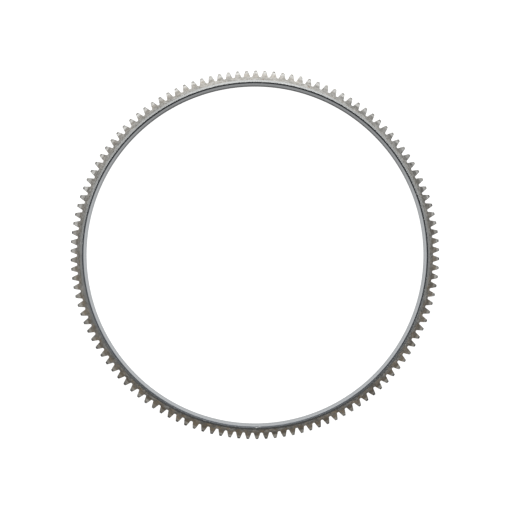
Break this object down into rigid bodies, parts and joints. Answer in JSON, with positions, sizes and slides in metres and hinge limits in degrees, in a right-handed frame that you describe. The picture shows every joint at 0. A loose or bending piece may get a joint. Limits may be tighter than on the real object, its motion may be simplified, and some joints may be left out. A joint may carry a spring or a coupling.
{
  "type": "flywheel ring gear",
  "caption": "One-piece toothed steel ring with a wide open bore and straight outside teeth, pressed onto a flywheel for a starter pinion to turn.",
  "frame": {"origin": "on the gear's axis in the plane of the back face, which the ring lies on", "axes": "+Z along the gear's axis, out of the chamfered front face; +X through the middle of one tooth"},
  "size_m": [0.384, 0.384, 0.0172],
  "materials": {
    "hardened_steel": "turned bore and land, scaled faces, tooth roots tinted by hardening"
  },
  "bodies": {
    "root": {"ring_gear": "hardened_steel"}
  },
  "joints": []
}
